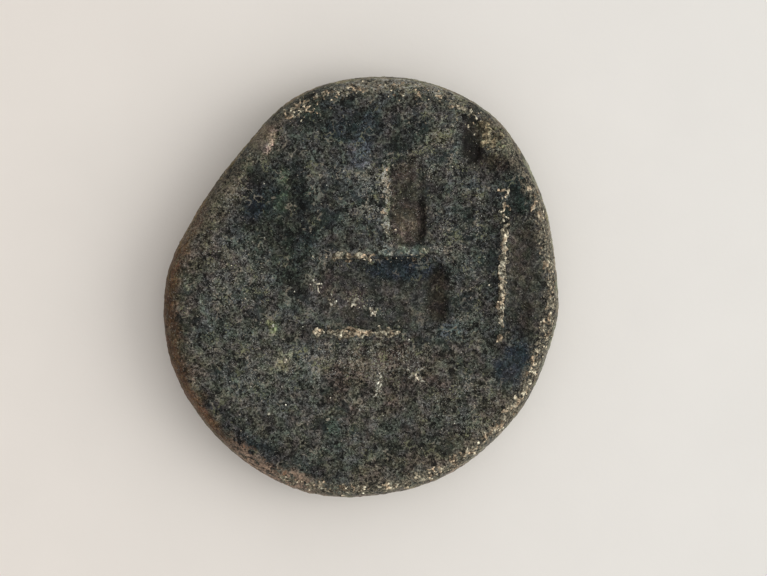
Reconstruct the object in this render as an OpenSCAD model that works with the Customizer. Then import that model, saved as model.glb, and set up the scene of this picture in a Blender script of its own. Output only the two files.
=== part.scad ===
// Hand-struck metal token: a thick, irregular disc with a plain sunk-panel device on its face,
// and the sandy burial soil that is still lodged on it. Millimetres, +Z up through the face.
// The origin is the middle of the bounding box, on the surface that the token lies on.

/* [Flan] */
// Width of the struck disc, side to side
flan_width = 19.7; // [14:0.1:28]
// Length of the struck disc, top of the face to its bottom
flan_length = 21.0; // [15:0.1:30]
// Thickness from the underside to the flat of the face
flan_thickness = 3.6; // [2.6:0.1:6]
// Height of the widest part of the edge above the underside
waist_height = 1.5; // [0.8:0.1:1.8]
// How far the flat underside stands in from the outline
foot_inset = 1.6; // [0.6:0.1:2.4]
// How far the flat of the face stands in from the outline
shoulder_inset = 1.15; // [0.6:0.05:2]
// Squareness of the rounded edge, where 2 is an ellipse
edge_squareness = 2.3; // [2:0.1:4]

/* [Sunk panel] */
// Overall length of the panel, side to side
panel_length = 6.8; // [4.5:0.1:8]
// Width of the panel, up the face
panel_width = 3.7; // [3.2:0.1:4.6]
// Radius of the panel's corners
panel_corner_radius = 1.3; // [0.6:0.1:1.5]
// Sideways place of the panel's middle
panel_x = 0.9; // [0:0.1:1.5]
// Place of the panel's middle up the face
panel_y = -0.35; // [-1:0.05:0.5]
// Depth of every sunk part of the device
sunk_depth = 0.28; // [0.2:0.01:0.5]

/* [Upright groove] */
// Overall length of the round-ended upright groove
groove_length = 4.4; // [2.8:0.1:5]
// Width of the upright groove
groove_width = 1.9; // [1:0.1:2.4]
// How far the groove's middle stands to the right of the panel's middle
groove_offset = 1.3; // [-1.5:0.1:1.6]

/* [Bars] */
// Width of the two level bars along the panel
bar_width = 0.5; // [0.3:0.05:0.8]
// Height of every raised line above the flat of the face
bar_height = 0.16; // [0.08:0.01:0.3]
// Length of the bar above the panel
upper_bar_length = 6.0; // [4:0.1:7]
// How far the upper bar's middle stands to the left of the panel's middle
upper_bar_shift = 0.4; // [0:0.1:1]
// Length of the bar below the panel
lower_bar_length = 4.8; // [3:0.1:7]
// How far the lower bar's middle stands to the left of the panel's middle
lower_bar_shift = 1.4; // [0:0.1:1.8]

/* [Border] */
// How far the border line stands in from the right-hand edge
border_inset = 2.9; // [2.4:0.05:3.5]
// Length of the border line
border_length = 8.0; // [5:0.1:9.6]
// How far the border line's upper end stands below the top edge
border_drop = 5.4; // [5:0.1:7]
// Width of the border line
border_width = 0.4; // [0.25:0.05:0.7]
// Lean of the border line from upright, in degrees
border_lean = 2.5; // [0:0.5:5]
// Width of the sunk channel between the border line and the rim
channel_width = 1.1; // [0.6:0.05:1.4]
// Overall length of the sunk channel
channel_length = 6.4; // [4:0.1:7]
// How far the channel's middle stands below the border line's middle
channel_drop = 0.5; // [0:0.1:1]

/* [Corner slot] */
// Overall length of the short slot near the upper right edge
slot_length = 2.2; // [1.2:0.1:2.6]
// Width of the short slot
slot_width = 0.5; // [0.3:0.05:0.8]
// How far the slot's middle stands in from the right-hand edge
slot_inset = 4.25; // [4:0.05:5.5]
// How far the slot's middle stands below the top edge
slot_drop = 3.4; // [3.2:0.1:4.5]

/* [Soil] */
// Radius of the soil fillets that are lodged against sunk walls
fillet_radius = 0.22; // [0.1:0.01:0.28]
// Thickness of the soil skins on the rim, at their middles
rim_soil_thickness = 0.1; // [0.06:0.01:0.14]
// Thickness of the thicker lump near the upper right edge, at its middle
lump_thickness = 0.16; // [0.08:0.01:0.2]
// Where the long skin starts, in degrees counter-clockwise from the right-hand side
rim_soil_start = 248; // [240:1:300]
// How far round the edge the long skin runs, in degrees
rim_soil_sweep = 139; // [40:1:139]
// Where the short skin at the top starts, in degrees
crown_soil_start = 60; // [56:1:80]
// How far round the edge the short skin runs, in degrees
crown_soil_sweep = 30; // [15:1:60]
// Where the lump starts, in degrees
lump_start = 33; // [31:1:36]
// How far round the edge the lump runs, in degrees
lump_sweep = 14; // [10:1:16]

/* [Hidden] */

$fn = 64;

patina = [0.17, 0.18, 0.16];
soil = [0.55, 0.49, 0.38];
ochre = [0.52, 0.40, 0.24];

// Knots that the outline passes through, counter-clockwise from the right-hand side.
// They set its shape; its size comes from flan_width and flan_length.
outline_knots = [
    [9.8, 0.4], [9.0, 4.6], [6.9, 8.3], [3.6, 10.2], [0.0, 10.5], [-3.3, 9.5],
    [-5.8, 7.0], [-8.2, 3.7], [-9.7, 0.2], [-9.4, -3.9], [-7.1, -7.6], [-3.4, -10.1],
    [0.6, -10.5], [4.6, -9.3], [7.9, -6.3], [9.6, -2.5]
];
span_steps = 5;      // outline points from one knot to the next
lower_steps = 5;     // rings from the flat underside up to the waist
upper_steps = 7;     // rings from the waist up to the flat of the face
skin_base = 2;       // rings between the waist and the lower side of a soil skin
thin_share = 0.35;   // thickness of a soil skin at its edges, as a share of that at its middle

knots = len(outline_knots);
sectors = knots * span_steps;
rings = lower_steps + upper_steps;
skin_low = lower_steps + skin_base;

floor_z = flan_thickness - sunk_depth;
groove_x = panel_x + groove_offset;
upper_bar_y = panel_y + panel_width / 2 + bar_width / 2;
lower_bar_y = panel_y - panel_width / 2 - bar_width / 2;
groove_y = upper_bar_y + bar_width / 2 + groove_length / 2;
border_x = flan_width / 2 - border_inset;
border_y = flan_length / 2 - border_drop - border_length / 2;
channel_offset = border_width / 2 + channel_width / 2;
slot_x = flan_width / 2 - slot_inset;
slot_y = flan_length / 2 - slot_drop;

// ---------------------------------------------------------------- outline and edge profile

function knot(i) = outline_knots[(i + knots) % knots];

// Catmull-Rom span from knot i to knot i + 1
function span_point(i, t) =
    let (a = knot(i - 1), b = knot(i), c = knot(i + 1), d = knot(i + 2))
    0.5 * (2 * b + (c - a) * t + (2 * a - 5 * b + 4 * c - d) * t * t
           + (3 * b - a - 3 * c + d) * t * t * t);

raw_outline = [
    for (i = [0 : knots - 1]) for (step = [0 : span_steps - 1]) span_point(i, step / span_steps)
];
raw_x = [for (p = raw_outline) p[0]];
raw_y = [for (p = raw_outline) p[1]];

// Puts a coordinate that runs from low to high on a span of the given size, centred on zero
function fit(v, low, high, size) = ((v - low) / (high - low) - 0.5) * size;

outline = [
    for (p = raw_outline) [
        fit(p[0], min(raw_x), max(raw_x), flan_width),
        fit(p[1], min(raw_y), max(raw_y), flan_length)
    ]
];

function outline_point(j) = outline[(j + sectors) % sectors];

// The outline point nearest to an angle from the right-hand side
function sector_near(angle) = round(angle * sectors / 360);

// Inset and height of ring k: 0 is the foot, lower_steps the waist, rings the flat of the face
function ring_angle(k) =
    k < lower_steps ? 90 * (1 - k / lower_steps) : 90 * (k - lower_steps) / upper_steps;
function ring_inset(k) =
    (k < lower_steps ? foot_inset : shoulder_inset)
    * (1 - pow(cos(ring_angle(k)), 2 / edge_squareness));
function ring_height(k) =
    let (rise = pow(sin(ring_angle(k)), 2 / edge_squareness))
    k < lower_steps ? waist_height * (1 - rise)
                    : waist_height + (flan_thickness - waist_height) * rise;

function skin_point(j, k) =
    let (p = outline_point(j), inward = 1 - ring_inset(k) / norm(p))
    [p[0] * inward, p[1] * inward, ring_height(k)];

// Outward normal of the skin at sector j and ring k
function skin_normal(j, k) =
    let (around = skin_point(j + 1, k) - skin_point(j - 1, k),
         up = skin_point(j, min(k + 1, rings)) - skin_point(j, k - 1),
         n = cross(around, up))
    n / norm(n);

// ---------------------------------------------------------------- shapes

// Upright prism with round ends, its length along X, centred on the origin in plan
module round_ended(length, width, height) {
    translate([-(length - width) / 2, -width / 2, 0])
        cube([length - width, width, height]);
    for (side = [-1, 1])
        translate([side * (length - width) / 2, 0, 0])
            cylinder(d = width, h = height);
}

// Upright prism with rounded corners, centred on the origin in plan
module rounded_block(length, width, height, radius) {
    translate([-length / 2, radius - width / 2, 0])
        cube([length, width - 2 * radius, height]);
    translate([radius - length / 2, -width / 2, 0])
        cube([length - 2 * radius, width, height]);
    for (side = [-1, 1], end = [-1, 1])
        translate([side * (length / 2 - radius), end * (width / 2 - radius), 0])
            cylinder(r = radius, h = height);
}

// The blank disc: a flat underside, a rounded edge and a flat face
module blank() {
    foot_centre = sectors * (rings + 1);
    face_centre = foot_centre + 1;
    points = [
        for (k = [0 : rings]) for (j = [0 : sectors - 1]) skin_point(j, k),
        [0, 0, 0],
        [0, 0, flan_thickness]
    ];
    function at(j, k) = k * sectors + (j % sectors);
    faces = [
        for (j = [0 : sectors - 1]) [foot_centre, at(j, 0), at(j + 1, 0)],
        for (k = [0 : rings - 1]) for (j = [0 : sectors - 1]) each [
            [at(j, k), at(j + 1, k + 1), at(j + 1, k)],
            [at(j, k), at(j, k + 1), at(j + 1, k + 1)]
        ],
        for (j = [0 : sectors - 1]) [face_centre, at(j + 1, rings), at(j, rings)]
    ];
    polyhedron(points = points, faces = faces, convexity = 4);
}

// Soil skin over the rounded edge, from an angle and over a sweep, between rings low and high.
// Its inner side shares the blank's own corners, so the two meet face to face.
module skin_patch(start, sweep, low, high, thickness) {
    first = sector_near(start);
    last = sector_near(start + sweep);
    across = high - low;
    along = last - first;
    function share(j, k) = sin(180 * (k - low) / across) * sin(180 * (j - first) / along);
    function lift(j, k) = thickness * (thin_share + (1 - thin_share) * sqrt(max(share(j, k), 0)));
    function at(j, k, outer) = ((j - first) * (across + 1) + (k - low)) * 2 + outer;
    points = [
        for (j = [first : last]) for (k = [low : high]) each [
            skin_point(j, k),
            skin_point(j, k) + skin_normal(j, k) * lift(j, k)
        ]
    ];
    faces = [
        for (j = [first : last - 1]) for (k = [low : high - 1]) each [
            [at(j, k, 0), at(j + 1, k, 0), at(j + 1, k + 1, 0)],
            [at(j, k, 0), at(j + 1, k + 1, 0), at(j, k + 1, 0)],
            [at(j, k, 1), at(j + 1, k + 1, 1), at(j + 1, k, 1)],
            [at(j, k, 1), at(j, k + 1, 1), at(j + 1, k + 1, 1)]
        ],
        for (j = [first : last - 1]) each [
            [at(j, low, 0), at(j, low, 1), at(j + 1, low, 1)],
            [at(j, low, 0), at(j + 1, low, 1), at(j + 1, low, 0)],
            [at(j, high, 0), at(j + 1, high, 1), at(j, high, 1)],
            [at(j, high, 0), at(j + 1, high, 0), at(j + 1, high, 1)]
        ],
        for (k = [low : high - 1]) each [
            [at(first, k, 0), at(first, k + 1, 1), at(first, k, 1)],
            [at(first, k, 0), at(first, k + 1, 0), at(first, k + 1, 1)],
            [at(last, k, 0), at(last, k, 1), at(last, k + 1, 1)],
            [at(last, k, 0), at(last, k + 1, 1), at(last, k + 1, 0)]
        ]
    ];
    polyhedron(points = points, faces = faces, convexity = 4);
}

// Quarter-round of soil along X, lodged in the corner of a floor at z = 0 and a wall at y = 0
module soil_fillet(length) {
    intersection() {
        rotate([0, 90, 0])
            cylinder(r = fillet_radius, h = length, center = true);
        translate([-length / 2, -fillet_radius, 0])
            cube([length, fillet_radius, fillet_radius]);
    }
}

// ---------------------------------------------------------------- device on the face

module sunk_panel() {
    translate([panel_x, panel_y, floor_z])
        rounded_block(panel_length, panel_width, flan_thickness, panel_corner_radius);
}

module upright_groove() {
    translate([groove_x, groove_y, floor_z])
        rotate(90)
            round_ended(groove_length, groove_width, flan_thickness);
}

module edge_channel() {
    translate([border_x, border_y, floor_z])
        rotate(90 - border_lean)
            translate([-channel_drop, -channel_offset, 0])
                round_ended(channel_length, channel_width, flan_thickness);
}

module corner_slot() {
    translate([slot_x, slot_y, floor_z])
        rotate(90)
            round_ended(slot_length, slot_width, flan_thickness);
}

// Raised round-ended line at a place and a turn, let into the face by its own height
module raised_line(place, turn, length, width) {
    translate([place[0], place[1], flan_thickness - bar_height])
        rotate(turn)
            round_ended(length, width, 2 * bar_height);
}

// ---------------------------------------------------------------- nodes

module flan() {
    color(patina) {
        difference() {
            blank();
            sunk_panel();
            upright_groove();
            edge_channel();
            corner_slot();
        }
        raised_line([panel_x - upper_bar_shift, upper_bar_y], 0, upper_bar_length, bar_width);
        raised_line([panel_x - lower_bar_shift, lower_bar_y], 0, lower_bar_length, bar_width);
        raised_line([border_x, border_y], 90 - border_lean, border_length, border_width);
    }
}

module rim_soil() {
    color(soil)
        skin_patch(rim_soil_start, rim_soil_sweep, skin_low, rings - 1, rim_soil_thickness);
}

module crown_soil() {
    color(soil)
        skin_patch(crown_soil_start, crown_soil_sweep, skin_low, rings - 1, rim_soil_thickness);
}

module corner_lump() {
    color(ochre)
        skin_patch(lump_start, lump_sweep, skin_low, rings, lump_thickness);
}

module panel_upper_soil() {
    color(soil)
        translate([panel_x, panel_y + panel_width / 2, floor_z])
            soil_fillet(panel_length - 2 * panel_corner_radius);
}

module panel_lower_soil() {
    color(soil)
        translate([panel_x, panel_y - panel_width / 2, floor_z])
            rotate(180)
                soil_fillet(panel_length - 2 * panel_corner_radius);
}

module groove_soil() {
    color(soil)
        translate([groove_x - groove_width / 2, groove_y, floor_z])
            rotate(90)
                soil_fillet(groove_length - groove_width);
}

module channel_soil() {
    color(soil)
        translate([border_x, border_y, floor_z])
            rotate(90 - border_lean)
                translate([-channel_drop, -border_width / 2, 0])
                    soil_fillet(channel_length - channel_width);
}

flan();
rim_soil();
crown_soil();
corner_lump();
panel_upper_soil();
panel_lower_soil();
groove_soil();
channel_soil();
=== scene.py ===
"""A worn, hand-struck copper-alloy token lying on a pale table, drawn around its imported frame."""

import math
import random

import bpy
import numpy as np
from mathutils import Euler, Matrix, Vector, noise
from mathutils.bvhtree import BVHTree


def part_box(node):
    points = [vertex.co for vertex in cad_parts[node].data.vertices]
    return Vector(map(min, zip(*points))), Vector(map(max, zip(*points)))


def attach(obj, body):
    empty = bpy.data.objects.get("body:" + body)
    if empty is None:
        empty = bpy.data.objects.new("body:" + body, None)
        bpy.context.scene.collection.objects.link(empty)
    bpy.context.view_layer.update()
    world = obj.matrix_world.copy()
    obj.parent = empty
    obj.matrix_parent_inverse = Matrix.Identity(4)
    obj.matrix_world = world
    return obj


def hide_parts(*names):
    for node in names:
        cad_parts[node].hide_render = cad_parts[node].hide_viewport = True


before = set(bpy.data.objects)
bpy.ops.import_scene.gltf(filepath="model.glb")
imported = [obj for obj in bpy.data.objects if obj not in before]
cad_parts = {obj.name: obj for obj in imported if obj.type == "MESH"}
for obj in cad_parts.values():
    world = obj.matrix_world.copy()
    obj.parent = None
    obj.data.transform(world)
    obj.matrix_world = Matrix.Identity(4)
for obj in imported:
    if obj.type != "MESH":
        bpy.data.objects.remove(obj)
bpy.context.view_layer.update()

MM = 0.001               # shapes are worked in millimetres, and shrunk to metres when they are finished
SEED = 41

flan_low, flan_high = (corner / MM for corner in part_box("flan"))
TOP = flan_high.z        # top of the raised lines


# ---------------------------------------------------------------- working with meshes

def add_object(name, data):
    obj = bpy.data.objects.new(name, data)
    bpy.context.scene.collection.objects.link(obj)
    return obj


def pick_only(obj):
    """Makes obj the only selected object, and the active one."""
    bpy.ops.object.select_all(action="DESELECT")
    obj.select_set(True)
    bpy.context.view_layer.objects.active = obj


def apply_modifier(obj, kind, **settings):
    pick_only(obj)
    modifier = obj.modifiers.new(kind.title(), kind)
    for key, value in settings.items():
        setattr(modifier, key, value)
    bpy.ops.object.modifier_apply(modifier=modifier.name)


def points_of(obj):
    """The vertices of obj as an array of shape (count, 3)."""
    flat = np.empty(len(obj.data.vertices) * 3, np.float32)
    obj.data.vertices.foreach_get("co", flat)
    return flat.reshape(-1, 3).astype(float)


def set_points(obj, points):
    obj.data.vertices.foreach_set("co", points.astype(np.float32).ravel())
    obj.data.update()


def shrink_to_metres(obj):
    obj.data.transform(Matrix.Scale(MM, 4))
    obj.data.update()


def smoothstep(low, high, value):
    t = np.clip((value - low) / (high - low), 0, 1)
    return t * t * (3 - 2 * t)


def field(points, size, shift=0.0, octaves=3):
    """Smooth noise from about -1 to 1 at each point, with features of the given size in millimetres."""
    offset = Vector((shift, shift * 1.7, shift * 0.6))
    return np.array([
        noise.fractal(Vector(p) / size + offset, 1.0, 2.0, octaves) for p in points
    ])


def add_point_attribute(obj, name, values):
    """Stores one number (or one colour) for each vertex."""
    if values.ndim == 1:
        layer = obj.data.attributes.new(name, "FLOAT", "POINT")
        layer.data.foreach_set("value", values.astype(np.float32))
    else:
        layer = obj.data.attributes.new(name, "FLOAT_COLOR", "POINT")
        opaque = np.ones((len(values), 1))
        layer.data.foreach_set("color", np.hstack([values, opaque]).astype(np.float32).ravel())


# ---------------------------------------------------------------- the flan's shape

VOXEL = 0.1              # spacing of the flan's mesh
ROOM_UNDER_TOP = 0.14    # the height within which the tallest bumps are pressed together


def copy_of_node(node, name):
    """A merged copy of a CAD node's mesh, in millimetres, as a new object."""
    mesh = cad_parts[node].data.copy()
    mesh.materials.clear()
    obj = add_object(name, mesh)
    mesh.transform(Matrix.Scale(1 / MM, 4))
    pick_only(obj)
    bpy.ops.object.mode_set(mode="EDIT")
    bpy.ops.mesh.select_all(action="SELECT")
    bpy.ops.mesh.remove_doubles(threshold=0.001)
    bpy.ops.object.mode_set(mode="OBJECT")
    return obj


def cloud_texture(name, size, depth):
    texture = bpy.data.textures.new(name, "CLOUDS")
    texture.noise_scale = size
    texture.noise_depth = depth
    return texture


def pit_texture(name, size, open_share):
    """Round pits, one in each cell, that are full depth at their middles and end at open_share."""
    texture = bpy.data.textures.new(name, "VORONOI")
    texture.noise_scale = size
    texture.use_color_ramp = True
    ramp = texture.color_ramp
    ramp.elements[0].position = 0.0
    ramp.elements[0].color = (0, 0, 0, 1)
    ramp.elements[1].position = open_share
    ramp.elements[1].color = (1, 1, 1, 1)
    return texture


def weigh(obj, name, weights):
    """A vertex group that holds each vertex's weight, rounded to a twentieth."""
    group = obj.vertex_groups.new(name=name)
    steps = 20
    levels = np.round(np.clip(weights, 0, 1) * steps).astype(int)
    for level in range(1, steps + 1):
        members = np.flatnonzero(levels == level)
        if len(members):
            group.add(members.tolist(), level / steps, "REPLACE")


def outline(points, turns):
    """Each point's sector of the circle and distance from the middle, and the reach of each sector."""
    angle = np.arctan2(points[:, 1], points[:, 0])
    radius = np.hypot(points[:, 0], points[:, 1])
    bins = ((angle + math.pi) / math.tau * turns).astype(int) % turns
    reach = np.zeros(turns)
    np.maximum.at(reach, bins, radius)
    return bins, radius, reach


def edge_distance(points):
    """How far each point stands in from the flan's outline, in plan, measured towards the middle."""
    turns = 720
    bins, radius, reach = outline(points, turns)
    empty = reach == 0
    reach[empty] = np.interp(np.flatnonzero(empty), np.flatnonzero(~empty), reach[~empty], period=turns)
    return reach[bins] - radius


def press_down(points, start, room):
    """Presses heights above start closer and closer together, so that none rises past start + room."""
    above = np.maximum(points[:, 2] - start, 0)
    points[:, 2] = np.minimum(points[:, 2], start) + room * (1 - np.exp(-above / room))


def fit_to_box(obj, low, high):
    """Brings a shape back to the given box: stretched in plan, and kept between its bottom and top."""
    points = points_of(obj)
    for axis in (0, 1):
        least, most = points[:, axis].min(), points[:, axis].max()
        points[:, axis] = low[axis] + (points[:, axis] - least) * (high[axis] - low[axis]) / (most - least)
    points[:, 2] = np.clip(points[:, 2], low[2], high[2])
    set_points(obj, points)


def make_flan():
    """The struck flan, worn smooth in the channel and pitted and bumpy all over."""
    flan = copy_of_node("flan", "struck_flan")
    apply_modifier(flan, "REMESH", mode="VOXEL", voxel_size=VOXEL, use_smooth_shade=True)
    apply_modifier(flan, "SMOOTH", factor=0.5, iterations=20)
    points = points_of(flan)
    right_of_border = smoothstep(6.9, 7.7, points[:, 0])
    weigh(flan, "worn_channel", right_of_border * smoothstep(2.4, 3.0, points[:, 2]))
    apply_modifier(flan, "SMOOTH", factor=0.5, iterations=70, vertex_group="worn_channel")
    points = points_of(flan)
    weigh(flan, "pitted", np.clip(0.5 + 1.2 * field(points, 2.6, shift=3.0), 0.1, 1))
    weigh(flan, "face", 0.35 + 0.65 * smoothstep(2.6, 3.3, points[:, 2]))
    for name, size, strength in (("settling", 3.5, 0.14), ("lumps", 0.8, 0.12)):
        apply_modifier(
            flan, "DISPLACE", texture=cloud_texture(name, size, 1), strength=strength, mid_level=0.5,
            vertex_group="face",
        )
    apply_modifier(
        flan, "DISPLACE", texture=pit_texture("pits", 0.75, 0.35), strength=0.13, mid_level=1.0,
        vertex_group="pitted",
    )
    apply_modifier(flan, "DISPLACE", texture=cloud_texture("grain", 0.26, 3), strength=0.09, mid_level=0.5)
    points = points_of(flan)
    press_down(points, TOP - 0.26, ROOM_UNDER_TOP)
    set_points(flan, points)
    fit_to_box(flan, flan_low, flan_high)
    flan.vertex_groups.clear()
    return flan


# ---------------------------------------------------------------- the flan's colours

LIFT = 1.16              # how much lighter the stored tones are than the colours named here
TEAL_GREY = (0.0320, 0.0335, 0.0315)
BROWN_GREY = (0.0372, 0.0372, 0.0335)
DARK_BAND = (0.0180, 0.0180, 0.0168)
# Near-black used for painted shade in the corner slot and along the groove's right wall
SHADE_BLACK = (0.008, 0.007, 0.006)
GREEN_BLACK = (0.0110, 0.0145, 0.0115)
SLATE = (0.0130, 0.0182, 0.0240)
SHADED_EDGE_BROWN = (0.070, 0.037, 0.0195)
PALE_EDGE = (0.058, 0.052, 0.040)
PALE_GREEN_HIGHLIGHT = (0.120, 0.128, 0.110)
NAVY_BLACK = (0.0105, 0.0120, 0.0135)
CHIP_BROWN = (0.110, 0.083, 0.062)
FLAKE_PINK = (0.250, 0.200, 0.172)

TYPICAL_TONE = 0.034     # lightness of the face's middling tone
PLAIN_SPECKLE = 0.22     # how thickly pale specks lie where no zone says otherwise

WARP = 0.45              # how far a stain's edge wanders, in millimetres
STEADY_SHARE = 0.3       # share of that by which the struck device's edges wander
EDGE_WARP = 0.28         # how far the bands along the outline wander
SIDE_WARP = 0.12         # how far the line between the side and the face wanders

# Ovals in plan: middle x and y, half-sizes, and turn in degrees
CHIP = (-4.85, 7.35, 0.4, 0.8, -35)
FLAKE = (-4.45, 7.15, 0.22, 0.65, -20)
GROOVE = (2.2, 4.15, 1.0, 2.2, 0)

# Stains on the face, with ragged edges: name, middle x and y, half-sizes, turn in degrees, colour, strength
STAINS = [
    ("dark upper left field", -4.2, 4.0, 2.0, 2.4, 30, GREEN_BLACK, 0.7),
    ("navy patch", -5.4, 4.3, 0.95, 1.1, 0, (0.0105, 0.0135, 0.0170), 0.9),
    ("dark left of the panel", -3.5, 1.0, 0.8, 1.4, 25, GREEN_BLACK, 0.6),
    ("green spot", -3.8, 4.8, 0.4, 1.2, 0, (0.046, 0.054, 0.038), 0.7),
    ("small green spot", -5.6, 6.0, 0.4, 0.45, 0, (0.050, 0.056, 0.038), 0.7),
    ("olive by the left edge", -6.9, 3.9, 0.5, 1.0, -30, (0.052, 0.052, 0.034), 0.6),
    ("dark upright streak", -2.9, 4.2, 0.35, 2.8, 5, (0.009, 0.012, 0.012), 0.85),
    ("dark green at the top", -2.2, 8.6, 0.9, 1.1, 0, GREEN_BLACK, 0.7),
    ("slate at the top", -0.3, 7.9, 1.6, 1.1, 0, (0.0150, 0.0185, 0.0205), 0.85),
    ("dark upper middle", 2.2, 7.4, 1.3, 0.7, 0, GREEN_BLACK, 0.5),
    ("lilac spot", 0.0, 6.5, 0.5, 0.7, 0, (0.046, 0.050, 0.060), 0.7),
    ("lilac streak", 1.5, 8.2, 0.35, 0.9, 0, (0.058, 0.057, 0.056), 0.7),
    ("olive left of the slot", 3.9, 7.5, 0.9, 0.5, 0, (0.066, 0.062, 0.042), 0.6),
    # Painted shade in the corner slot, a deep recess beside the lump
    ("corner slot", 5.5, 7.45, 0.58, 1.55, 0, SHADE_BLACK, 0.97),
    ("brown under the lump", 6.7, 6.2, 0.9, 0.5, 0, (0.018, 0.014, 0.010), 0.8),
    ("round the lump", 6.6, 7.3, 0.7, 0.9, 30, (0.064, 0.060, 0.043), 0.8),
    ("green above the channel", 7.9, 4.5, 0.7, 1.0, 20, (0.0085, 0.0125, 0.0110), 0.9),
    ("channel floor", 8.1, 0.6, 0.9, 3.0, 0, (0.034, 0.031, 0.026), 0.8),
    ("slate below the channel", 7.45, -3.7, 0.75, 1.5, -15, SLATE, 0.92),
    ("blue spot by the panel", 4.5, -2.1, 0.7, 0.3, 0, (0.026, 0.032, 0.036), 0.7),
    ("warm patch under the panel", 1.2, -4.3, 3.2, 1.9, 0, (0.044, 0.034, 0.027), 0.6),
    ("pale lower left field", -5.3, -3.8, 2.6, 2.2, 30, (0.037, 0.040, 0.034), 0.4),
    ("pale left field", -7.2, 0.9, 1.5, 1.4, 0, (0.042, 0.038, 0.033), 0.5),
    ("tan patch", -3.75, -3.65, 0.4, 0.45, 0, (0.110, 0.104, 0.078), 0.85),
    ("yellow fleck", -4.35, -1.95, 0.2, 0.22, 0, (0.125, 0.130, 0.075), 0.8),
    ("pitted foot", 2.8, -8.0, 2.6, 1.1, 10, (0.020, 0.020, 0.017), 0.65),
    ("green near the foot", -1.4, -7.3, 0.6, 0.7, 0, (0.030, 0.042, 0.036), 0.5),
    ("dark stroke at the lower left", -5.7, -7.75, 1.6, 0.2, -18, (0.006, 0.007, 0.009), 0.95),
    ("dark lower left edge", -7.5, -6.3, 1.0, 0.2, -52, (0.010, 0.010, 0.011), 0.9),
]

# Tones that keep to the struck device, with nearly straight edges, given as the stains are; some are painted
# light and shade
STRUCK_TONES = [
    ("floor of the panel", 0.8, -0.35, 3.4, 1.75, 0, (0.030, 0.0275, 0.0245), 0.55),
    ("mauve in the panel", -1.2, -0.2, 1.5, 1.2, 0, (0.037, 0.031, 0.029), 0.6),
    # Slate-blue patina, with painted shade along the panel's top wall below the pale line
    ("slate and shaded top wall in the panel", 2.1, 0.85, 2.2, 0.62, -4, (0.0112, 0.0148, 0.0190), 0.95),
    # Painted shadow at the panel's right-hand end, where its wall faces away from the light
    ("shaded end of the panel", 3.75, -0.3, 0.5, 1.35, 0, (0.0150, 0.0120, 0.0095), 0.9),
    # Partly pale soil along the panel's upper line, partly painted light on the panel's top wall, which faces
    # the light
    ("pale upper bar and its lit wall", 2.2, 1.78, 1.8, 0.24, 0, PALE_GREEN_HIGHLIGHT, 0.75),
    ("groove floor", 2.2, 4.15, 0.85, 2.15, 0, (0.041, 0.034, 0.028), 0.92),
    # Painted light on the groove's left wall, which faces the light, over its pale specks
    ("lit and speckled side of the groove", 1.25, 4.2, 0.22, 2.0, 0, (0.068, 0.066, 0.050), 0.6),
    # Painted shadow along the groove's right wall, which faces away from the light
    ("shaded side of the groove", 3.0, 3.1, 0.22, 1.3, 0, SHADE_BLACK, 0.85),
]

# Colour of the flan's outer side, by the angle round it in degrees, counter-clockwise from the right: its own
# tan and brown, with painted light (lighter on the right and below) and painted shade (darker brown round the
# left)
SIDE_TONES_AND_SHADE = [
    (0, (0.165, 0.150, 0.112)),
    (30, (0.160, 0.145, 0.106)),
    (60, (0.130, 0.116, 0.082)),
    (95, (0.200, 0.175, 0.120)),
    (130, (0.150, 0.118, 0.075)),
    (160, (0.130, 0.092, 0.056)),
    (180, (0.095, 0.058, 0.034)),
    (200, (0.082, 0.048, 0.027)),
    (225, (0.105, 0.088, 0.063)),
    (245, (0.140, 0.114, 0.090)),
    (280, (0.165, 0.143, 0.112)),
    (315, (0.165, 0.148, 0.116)),
]

# Where the face is worn smooth: name, middle x and y, half-sizes, turn in degrees, how smooth
SMOOTHED = [
    ("groove", 2.4, 4.1, 0.9, 2.1, 0, 0.55),
    ("end of the panel", 3.2, -0.6, 1.2, 1.3, 0, 0.5),
    ("foot of the panel", 0.4, -1.5, 2.6, 0.6, 0, 0.5),
    ("floor of the panel", 0.6, -0.1, 3.2, 1.5, 0, 0.36),
    ("channel", 8.0, 0.6, 0.9, 2.9, 0, 0.5),
    ("slate at the right", 7.4, -3.9, 0.8, 1.3, -15, 0.5),
    ("corner slot", 5.5, 7.4, 0.55, 1.4, 0, 0.75),
]

# Where pale specks gather: name, middle x and y, half-sizes, turn in degrees, how thickly
SPECKLED = [
    ("left of the groove", 0.7, 4.6, 1.0, 1.6, 0, 0.75),
    ("along the groove", 1.25, 4.2, 0.2, 2.2, 0, 1.0),
    ("second line", 5.75, 4.0, 0.12, 1.7, 0, 0.9),
    ("right of the groove", 4.3, 2.2, 0.6, 1.2, 0, 0.65),
    ("upper right field", 4.0, 7.0, 2.2, 2.2, 0, 0.5),
    ("right field", 5.2, 1.5, 1.1, 4.5, 0, 0.42),
    ("under the panel", -0.3, -3.6, 4.0, 1.0, 0, 0.6),
    ("lower left field", -5.2, -3.6, 2.4, 2.6, 35, 0.4),
    ("left field", -6.0, 0.6, 2.0, 2.4, 0, 0.5),
    ("upper left field", -6.2, 4.6, 0.9, 2.4, 25, 0.45),
    ("lower right field", 4.8, -6.0, 2.6, 1.8, 40, 0.4),
    ("middle of the panel", 0.3, -0.9, 1.9, 0.5, -25, 0.4),
    ("streak below the panel", 0.9, -4.6, 0.2, 0.9, 0, 0.9),
    ("slanting streak", 2.7, -4.3, 0.6, 0.2, 40, 0.9),
    ("short streak", -2.2, -4.6, 0.2, 0.6, 0, 0.8),
    ("small notch", 0.2, -5.9, 0.5, 0.25, 0, 0.8),
]


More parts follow.
